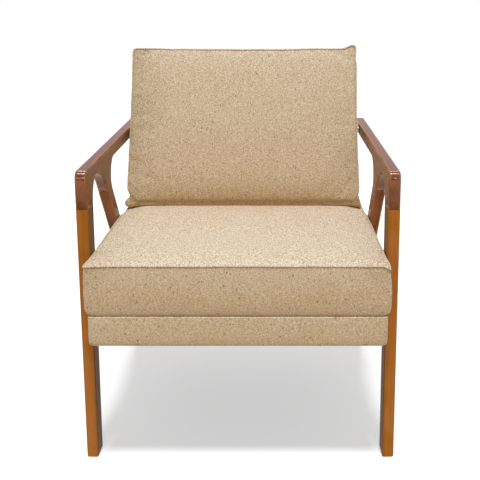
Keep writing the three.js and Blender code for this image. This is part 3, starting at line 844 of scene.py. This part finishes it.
# Seat cushion
seatCushion = {
    "cell": 7 * mm,
    "front": 3 * mm,  # behind the front of the seat box
    "depth": 568 * mm,
    "height": 106 * mm,
    "lowerGap": 0.5 * mm,
    "sideGap": 1 * mm,
    "cornerRadius": 14 * mm,
    "frontFlare": 6.2 * mm,  # it spreads past the frames in front of the legs
    "flareDepths": (12 * mm, 50 * mm),
    "underRound": 9 * mm,  # its lower edge turns in by this at the sides
    "underRoundHeight": 15 * mm,
    "frontRound": 0.6,  # and by this share of it at the front
    "frontRun": 60 * mm,
    "crown": 13 * mm,
    "sideBulge": 1.5 * mm,
    "sideFolds": 0.3,  # how much of the cloth's own shape its sides keep, from these heights on
    "foldRises": (0, 1 * mm),
    "dent": 0.5,  # share of the crown that the back cushion presses down
    "dentDepths": (400 * mm, 500 * mm),
    "cornerDroop": (3 * mm, 9 * mm),  # the front corners, left and right: one has gone soft
    "cornerDrawn": (0, 3 * mm),
    "cornerFrom": 0.94,  # share of the half width where a corner starts
    "cornerDepths": (11 * mm, 43 * mm),
    "rearDroop": 7 * mm,  # the back cushion presses the rear corners down
    "rearFrom": 0.84,
    "rearDepths": (400 * mm, 480 * mm),
    "legClear": 5 * mm,  # from this far in front of the legs it keeps between the frames
    "legSpare": 0.8 * mm,
    "creases": (0.8, 0.3),  # of the upper seam and of the lower edge
    # painted shade along the sides
    "sideShadeFrom": 0.97,  # the cloth is deeper in colour along the sides
    "sideShadeBand": 40 * mm,
    "sideShadeShare": 0.7,
    "pressure": 4.0,
    "stiffness": 14.0,
    "bending": 0.6,
    "fullness": 0.015,
    "cap": 24 * mm,
    "lip": 1.8 * mm,
    "uneven": 0.15,
    "stray": 0.5 * mm,
}


def seatCushionHalf(depth):
    look = seatCushion
    flare = look["frontFlare"] * (1 - lift(depth, *look["flareDepths"]))
    return seatHalfWidth(depth) - look["sideGap"] + flare


def makeSeatCushion():
    look = seatCushion
    base = chairLines["boxHeight"] + look["lowerGap"]
    top = base + look["height"]
    front, rear = look["front"], look["front"] + look["depth"]
    half = seatHalfWidth(front)
    cushion = addCushion("seatCushion", (-half, front, base), (half, rear, top), look["cell"])
    vertices = cushion.data.vertices
    taperAcross(cushion, half, 1, seatCushionHalf)
    roundPlan(cushion, lambda co: look["cornerRadius"], seatCushionHalf, 1, (front, rear))
    upper, lower = loopAt(cushion, 2, top), loopAt(cushion, 2, base)
    underside = flatAt(cushion, 2, base)
    topFace = sorted(flatAt(cushion, 2, top) - set(upper))
    for v in vertices:
        co = v.co
        turn = max(0, 1 - (co.z - base) / look["underRoundHeight"])
        inset = look["underRound"] * (1 - math.sqrt(1 - turn ** 2))
        bulge = look["sideBulge"] * math.sin(math.pi * (co.z - base) / look["height"])
        co.x *= (seatCushionHalf(co.y) - inset + bulge) / seatCushionHalf(co.y)
        atFront = 1 - lift(co.y, front, front + look["frontRun"])
        co.y += (look["frontRound"] * inset - bulge) * atFront
    puff(cushion, look, set(upper) | underside, topFace)

    def fullness(co):
        return dome(co.x / seatCushionHalf(co.y), 2 * (co.y - front) / (rear - front) - 1)

    settleFace(cushion, topFace, 2, top, look["crown"], fullness)
    for i, v in enumerate(vertices):
        co = v.co
        if i in topFace:
            co.z -= (co.z - top) * look["dent"] * lift(co.y, *look["dentDepths"])
        upward = lift(co.z, base + look["height"] / 2, top)
        outward = abs(co.x) / seatCushionHalf(co.y)
        side = 0 if co.x < 0 else 1
        soft = upward * lift(outward, look["cornerFrom"], 1.0) * (1 - lift(co.y, *look["cornerDepths"]))
        co.z -= look["cornerDroop"][side] * soft
        co.x -= look["cornerDrawn"][side] * soft
        pressed = upward * lift(outward, look["rearFrom"], 1.0) * lift(co.y, *look["rearDepths"])
        co.z -= look["rearDroop"] * pressed
        if co.y > chairLines["legSetback"] - look["legClear"]:
            room = seatHalfWidth(co.y) + look["legSpare"]
            co.x = max(-room, min(room, co.x))
        co.z = max(base, co.z)

    # the sides of the upper half, where shade is painted
    def isShadedSide(co):
        atSide = abs(co.x) > look["sideShadeFrom"] * seatCushionHalf(co.y)
        return atSide and co.z > base + look["height"] / 2

    seams = finishCushion(cushion, look, (upper, lower), isShadedSide, seatPlace, "seat_cushion")
    addSeam("seatCushionSeam", seams[0], look)
    return cushion


seatPad = makeSeatCushion()
print("seat cushion made")


# Back cushion. Its rises are measured up the back panel from the seat box
backCushion = {
    "cell": 6.5 * mm,
    "thickness": 111 * mm,
    "panelGap": 0.5 * mm,
    "low": 107.5 * mm,  # rear lower edge
    "high": 470 * mm,
    "halfBottom": 281 * mm,
    "halfTop": 268.5 * mm,
    "shift": (-3.5 * mm, -1.5 * mm),  # it sits a little to the left, most of all at the foot
    "topRadius": 8 * mm,
    "lowerRadius": 4 * mm,
    "panelRadius": 12 * mm,  # the front panel's lower corners
    "panelFrom": 0.88,  # share of the thickness where that panel's radius starts
    "frontLow": 97 * mm,  # the front panel's lower seam
    "lowerRise": 34 * mm,  # this much of the lower edge follows it
    "underDrop": 10 * mm,  # the boxing hangs this far below that seam
    "underTurn": 9 * mm,  # and turns under within this depth
    "pinchRise": 108 * mm,  # where the sides are drawn in, above the roll of boxing
    "pinch": (17 * mm, 4 * mm),
    "pinchDrop": 3.5 * mm,  # and the fold it makes hangs down
    "pinchReach": 9 * mm,
    "roll": (9 * mm, 6 * mm),  # the boxing rolls out sideways where it carries the weight
    "rollTop": (104 * mm, 108 * mm),
    "foldFall": 0.12,  # the fold between the two falls towards the back panel
    "foldForward": (0.3, 0.7),
    "foldAcross": (0.9, 0.97),
    "seamSink": 4 * mm,  # the lower seam lies in a groove between panel and boxing
    "sinkRises": (100 * mm, 109 * mm),
    "crown": 18 * mm,
    "sideFolds": 0.35,
    "foldRises": (112 * mm, 150 * mm),
    "topDip": 3 * mm,
    "sideDip": 1.5 * mm,
    "dipFrom": 0.7,
    "pucker": 0.9 * mm,
    "puckerRun": 30 * mm,
    "earHeight": 8 * mm,  # one upper corner stands up in a small ear
    "earAcross": (0.9, 0.97),
    "earUpwards": (0.87, 1.0),
    "earForward": (0.6, 1.0),
    "earLean": 0.3,
    "restRise": 40 * mm,  # what lies lower than this above the lower edge rests on the seat cushion
    "restGap": 0.4 * mm,
    "restForward": (0.86, 0.94),
    "creases": (0.8, 0.8),
    # painted shade along the sides
    "sideShadeRises": (455 * mm, 217.5 * mm),  # the sides are deeper in colour up to here, left and right
    "sideShadeBand": 55 * mm,
    "sideShadeShare": 1.0,
    "pressure": 4.0,
    "stiffness": 12.0,
    "bending": 0.5,
    "fullness": 0.02,
    "cap": 26 * mm,
    "lip": 2.4 * mm,
    "pressedLip": 0.4,  # the lower run of the seam is pressed thin
    "pressedRises": (112 * mm, 130 * mm),
    "uneven": 0.12,
    "stray": 0.6 * mm,
}


backRear = -backCushion["panelGap"]
backFront = backRear - backCushion["thickness"]


def forwardShare(co):
    # 0 beside the back panel, 1 at the cushion's front
    return (backRear - co.y) / (backRear - backFront)


def backCushionHalf(rise):
    look = backCushion
    share = (rise - look["low"]) / (look["high"] - look["low"])
    return look["halfBottom"] + (look["halfTop"] - look["halfBottom"]) * share


def backCushionRadius(co):
    look = backCushion
    if co.z > (look["low"] + look["high"]) / 2:
        return look["topRadius"]
    onPanel = lift(-co.y / look["thickness"], look["panelFrom"], 1.0)
    return look["lowerRadius"] + (look["panelRadius"] - look["lowerRadius"]) * onPanel


def shapeBackCushion(cushion):
    # sewn edges drawn in between the corners, a lower edge that sags, and one corner's ear
    look = backCushion
    low, high = look["low"], look["high"]
    for v in cushion.data.vertices:
        co = v.co
        across = co.x / backCushionHalf(co.z)
        upwards = 2 * (co.z - low) / (high - low) - 1
        forward = forwardShare(co)
        turn = 1 - min(1, max(0, co.y - backFront) / look["underTurn"])
        under = look["underDrop"] * math.sqrt(1 - turn ** 2) * lift(forward, 0.0, 0.5)
        lower = 1 - lift(co.z, low, low + look["lowerRise"])
        co.z -= ((low - look["frontLow"]) * forward + under) * lower
        co.z -= look["topDip"] * lift(upwards, look["dipFrom"], 1.0) * (1 - across ** 2)
        drawn = math.copysign(look["sideDip"], co.x) * lift(abs(across), look["dipFrom"], 1.0)
        co.x -= drawn * (1 - upwards ** 2)
        ripple = wander(Vector((co.x, 0, 0)), look["puckerRun"], 8)
        co.z += look["pucker"] * ripple * lift(upwards, 0.9, 1.0)
        ear = lift(across, *look["earAcross"]) * lift(upwards, *look["earUpwards"])
        ear *= look["earHeight"] * lift(forward, *look["earForward"])
        co.z += ear
        co.x += look["earLean"] * ear


def foldCorner(co):
    # at each lower corner the panel is drawn in, and the boxing below it rolls out
    look = backCushion
    forward = forwardShare(co)
    level = co.z + look["foldFall"] * max(0, co.y - backFront)
    side = 0 if co.x < 0 else 1
    above = max(lift(forward, 0.96, 1.0), lift(level, *look["rollTop"]))
    rise = max(0, level - look["pinchRise"]) / look["pinchReach"]
    drawIn = above * look["pinch"][side] * math.exp(-rise ** 2)
    rollOut = (1 - above) * look["roll"][side]
    share = lift(forward, *look["foldForward"])
    share *= lift(abs(co.x) / backCushionHalf(co.z), *look["foldAcross"])
    co.x += math.copysign(1, co.x) * (rollOut - drawIn) * share
    co.z -= look["pinchDrop"] * share * drawIn / look["pinch"][0]


def makeBackCushion(seatPad):
    look = backCushion
    half, low, high = look["halfBottom"], look["low"], look["high"]
    cushion = addCushion("backCushion", (-half, backFront, low), (half, backRear, high), look["cell"])
    vertices = cushion.data.vertices
    taperAcross(cushion, half, 2, backCushionHalf)
    roundPlan(cushion, backCushionRadius, backCushionHalf, 2, (low, high))
    foreSeam, rearSeam = loopAt(cushion, 1, backFront), loopAt(cushion, 1, backRear)
    rearFace = flatAt(cushion, 1, backRear)
    frontFace = flatAt(cushion, 1, backFront) - set(foreSeam)
    shapeBackCushion(cushion)
    puff(cushion, look, set(foreSeam) | rearFace, frontFace)
    settleFace(cushion, frontFace, 1, backFront, -look["crown"], backFullness)
    for i, v in enumerate(vertices):
        co = v.co
        foldCorner(co)
        if i in foreSeam:
            co.y += look["seamSink"] * (1 - lift(co.z, *look["sinkRises"]))
        atFoot, atTop = look["shift"]
        co.x += atFoot + (atTop - atFoot) * lift(co.z, low, high)
        co.y = min(backRear, co.y)
    settleOnSeat(cushion, seatPad, set(foreSeam) | frontFace)
    orders = foreSeam, rearSeam
    thin = look["pressedLip"]
    widths = [[thin + (1 - thin) * lift(vertices[i].co.z, *look["pressedRises"]) for i in order]
              for order in orders]
    # the sides where shade is painted, up to a rise on each side
    isShadedSide = lambda co: co.z < look["sideShadeRises"][0 if co.x < 0 else 1]
    seams = finishCushion(cushion, look, orders, isShadedSide, backPlace, "back_cushion")
    for word, seam, seamWidths in zip(("Front", "Rear"), seams, widths):
        addSeam(f"backCushion{word}Seam", seam, look, seamWidths)


def backFullness(co):
    low, high = backCushion["frontLow"], backCushion["high"]
    return dome(co.x / backCushionHalf(co.z), 2 * (co.z - low) / (high - low) - 1)


def settleOnSeat(cushion, seatPad, frontPanel):
    # the underside sags on to the seat cushion and rests flat on it
    look = backCushion
    tree = BVHTree.FromObject(seatPad, bpy.context.evaluated_depsgraph_get())
    toBack = backPlace.inverted()
    aloft, down = Vector((0, 0, 100 * mm)), Vector((0, 0, -1))
    for i, v in enumerate(cushion.data.vertices):
        if v.co.z > look["low"] + look["restRise"]:
            continue
        place = backPlace @ v.co
        hit = tree.ray_cast(place + aloft, down)[0]
        if hit is None:
            continue
        floor = hit.z + look["restGap"]
        forward = forwardShare(v.co)
        sag = lift(forward, 0.0, 0.3) * (1 - lift(forward, *look["restForward"]))
        if v.co.z > look["low"] or i in frontPanel:
            sag = 0
        place.z = max(floor, place.z + (floor - place.z) * sag)
        v.co = toBack @ place


makeBackCushion(seatPad)
print("back cushion made")


# Seat box cover and back panel cover, shells around the hidden frames
def wrapCover(cover, seams, look, place):
    # gives a cover its wall and soft edges, and puts it in its place
    for order in seams:
        creaseLoop(cover, order, look["crease"])
    applyModifier(cover, "SOLIDIFY", thickness=look["wall"], offset=-1, use_even_offset=True)
    smoothUp(cover)
    placeWith(cover, place)
    shade(cover, padAngle)


boxCover = {
    "cell": 14 * mm,
    "depth": 617.6 * mm,
    "cornerRadius": 14 * mm,
    "wall": 5.5 * mm,
    "puff": 0.8 * mm,
    "puffBase": 0.4,  # share of the puff that lies under the front's own plane
    "ripple": 0.3 * mm,
    "rippleRun": 60 * mm,
    "frontInset": 0.6 * mm,
    "crease": 0.55,
}


def makeBoxCover():
    look = boxCover
    half = seatHalfWidth(0)
    height = chairLines["boxHeight"]
    cover = addPad("seatBoxCover", (-half, 0, 0), (half, look["depth"], height), look["cell"])
    taperAcross(cover, half, 1, seatHalfWidth)
    roundPlan(cover, lambda co: look["cornerRadius"], seatHalfWidth, 1, (0, look["depth"]))
    upper = loopAt(cover, 2, height)
    for v in cover.data.vertices:
        co = v.co
        if co.y < 0.1 * mm:
            swell = look["puff"] * (math.sin(math.pi * co.z / height) - look["puffBase"])
            co.y -= swell + look["ripple"] * wander(co, look["rippleRun"], 14) - look["frontInset"]
    deleteFaces(cover, lambda f: all(isAt(v.co.z, 0) for v in f.verts))
    wrapCover(cover, [upper], look, seatPlace)
    keep(cover, coverTweed, "cover_fabric", "seat_box_cover")


makeBoxCover()
print("seat box cover made")

panelCover = {
    "cell": 14 * mm,
    "low": 0.6 * mm,
    "height": 470 * mm,
    "thickness": 39.9 * mm,
    "cornerRadius": 18 * mm,
    "wall": 5.5 * mm,
    "puff": 1.5 * mm,
    "rearInset": 1.5 * mm,
    "footRise": 20 * mm,  # the foot is cut to the deck of the seat box within this rise
    "crease": 0.5,
}


def makePanelCover():
    look = panelCover
    half = (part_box("back_panel_cover")[1].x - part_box("back_panel_cover")[0].x) / 2
    low, high, rear = look["low"], look["height"], look["thickness"]
    cover = addPad("backPanelCover", (-half, 0, low), (half, rear, high), look["cell"])
    roundTop = lambda co: look["cornerRadius"] if co.z > high / 2 else 0
    roundPlan(cover, roundTop, lambda rise: half, 2, (low, high))
    seams = [loopAt(cover, 1, 0), loopAt(cover, 1, rear)]
    for v in cover.data.vertices:
        co = v.co
        share = max(abs(co.x) / half, abs(2 * (co.z - low) / (high - low) - 1))
        if isAt(co.y, rear):
            co.y += look["puff"] * (1 - share ** 2) - look["rearInset"]
        co.z += lift(co.z, low + look["footRise"], low) * co.y * math.tan(chairLines["recline"])
    deleteFaces(cover, lambda f: f.normal.z < -0.6 and f.calc_center_median().z < low + look["footRise"])
    wrapCover(cover, seams, look, backPlace)
    keep(cover, coverTweed, "cover_fabric", "back_panel_cover")


makePanelCover()
print("back panel cover made")


# Dust cover and webbing
underSeat = {
    "cells": 30,
    "thickness": 1 * mm,
    "clothShare": 0.6,  # share of that thickness which is cloth
    "inset": 6.3 * mm,
    "wave": 0.2 * mm,
    "waveRun": 50 * mm,
    "strapEdge": 0.4 * mm,
}


def makeDustCover():
    look = underSeat
    front, rear = look["inset"], boxCover["depth"] - look["inset"]
    deselectAll()
    bpy.ops.mesh.primitive_grid_add(x_subdivisions=look["cells"], y_subdivisions=look["cells"], size=1)
    cloth = takeNew("seatDustCover")
    for v in cloth.data.vertices:
        y = front + (v.co.y + 0.5) * (rear - front)
        half = seatHalfWidth(y) - look["inset"]
        v.co = (v.co.x * 2 * half, y, look["thickness"] / 2)
        v.co.z += look["wave"] * wander(v.co, look["waveRun"], 20)
    applyModifier(cloth, "SOLIDIFY", thickness=look["thickness"] * look["clothShare"], offset=0)
    placeWith(cloth, seatPlace)
    shade(cloth, padAngle)
    keep(cloth, dustCloth, "dust_cloth", "seat_dust_cover")


def makeStrap(nodeName, name):
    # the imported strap, with its edges broken
    piece = editPacked(nodeName, name)
    bpy.ops.mesh.tris_convert_to_quads()
    endEdit()
    applyModifier(piece, "BEVEL", width=underSeat["strapEdge"], segments=1)
    shade(piece, padAngle)
    keep(piece, webbing, "elastic_webbing", nodeName)


makeDustCover()
for name in [n for n in nodes if "strap" in n]:
    words = name.split("_")
    makeStrap(name, words[0] + "Strap" + words[2])
print("dust cover and webbing made")


# Camera, floor and light
view = {
    "lens": 81.71,
    "sensor": 36,
    "place": (0.0831, -2.4646, 1.1513),
    "pitch": 14.398,
    "shiftX": -0.0811,
    "shiftY": -0.1146,
}
bpy.ops.object.camera_add(location=view["place"], rotation=(quarterTurn - math.radians(view["pitch"]), 0, 0))
camera = takeNew("photoCamera")
setAll(camera.data, sensor_width=view["sensor"], lens=view["lens"])
setAll(camera.data, shift_x=view["shiftX"], shift_y=view["shiftY"])
scene.camera = camera

studio = {
    "world": 0.43,
    "floorSize": 12,
    "floorTone": 0.72,
    "floorGlow": 0.47,
    "key": 2.26,
    "keyTilt": 19,
    "keySpread": 9,
    # each soft box: its place, the point that it faces, its width, height and power
    "softBoxes": {
        "overheadStrip": ((0, -0.65, 2.6), (0, -0.3, 0.4), 2.0, 0.45, 130.0),
        "rearStrip": ((0, 1.7, 2.6), (0, -0.3, 0.55), 2.4, 0.3, 60.0),
        "frontStrip": ((0, -3.4, 1.4), (0, -0.3, 0.5), 2.4, 0.25, 70.0),
    },
}


def seenShare(tree):
    # 1 for what the camera sees, also in a reflection or through something clear, and 0 for the rest
    path = addNode(tree, "LightPath").outputs
    seen = calc(tree, "MAXIMUM", path["Is Camera Ray"], path["Is Glossy Ray"])
    return calc(tree, "MAXIMUM", seen, path["Is Transmission Ray"])


bpy.ops.mesh.primitive_plane_add(size=studio["floorSize"], location=(0, 0, 0))
floor = takeNew("studioFloor")
floorPaint, floorTree, floorSurface = newMaterial("studioFloor")
feed(floorTree, floorSurface, {
    "Base Color": (*[studio["floorTone"]] * 3, 1),
    "Roughness": 0.9,
    "Specular IOR Level": 0.0,
    "Emission Color": (1, 1, 1, 1),
    "Emission Strength": times(floorTree, seenShare(floorTree), studio["floorGlow"]),
})
dress(floor, floorPaint)

world = bpy.data.worlds.new("studio")
scene.world = world
world.use_nodes = True
sky = world.node_tree
brightness = times(sky, seenShare(sky), 1 - studio["world"])
feed(sky, sky.nodes["Background"].inputs, {
    "Color": (1, 1, 1, 1), "Strength": calc(sky, "ADD", studio["world"], brightness),
})

bpy.ops.object.light_add(type="SUN", location=(0, -1, 3), rotation=(math.radians(studio["keyTilt"]), 0, 0))
setAll(takeNew("keyLamp").data, energy=studio["key"], angle=math.radians(studio["keySpread"]))


def addSoftBox(name, place, target, wide, high, power):
    # it only glints in the lacquer
    way = (Vector(target) - Vector(place)).to_track_quat("-Z", "Y").to_euler()
    bpy.ops.object.light_add(type="AREA", location=place, rotation=way)
    lamp = takeNew(name)
    setAll(lamp, visible_camera=False, visible_diffuse=False)
    setAll(lamp.data, shape="RECTANGLE", size=wide, size_y=high, energy=power)


for name, softBox in studio["softBoxes"].items():
    addSoftBox(name, *softBox)
print("camera, floor and light set")

scene.view_settings.view_transform = "Standard"
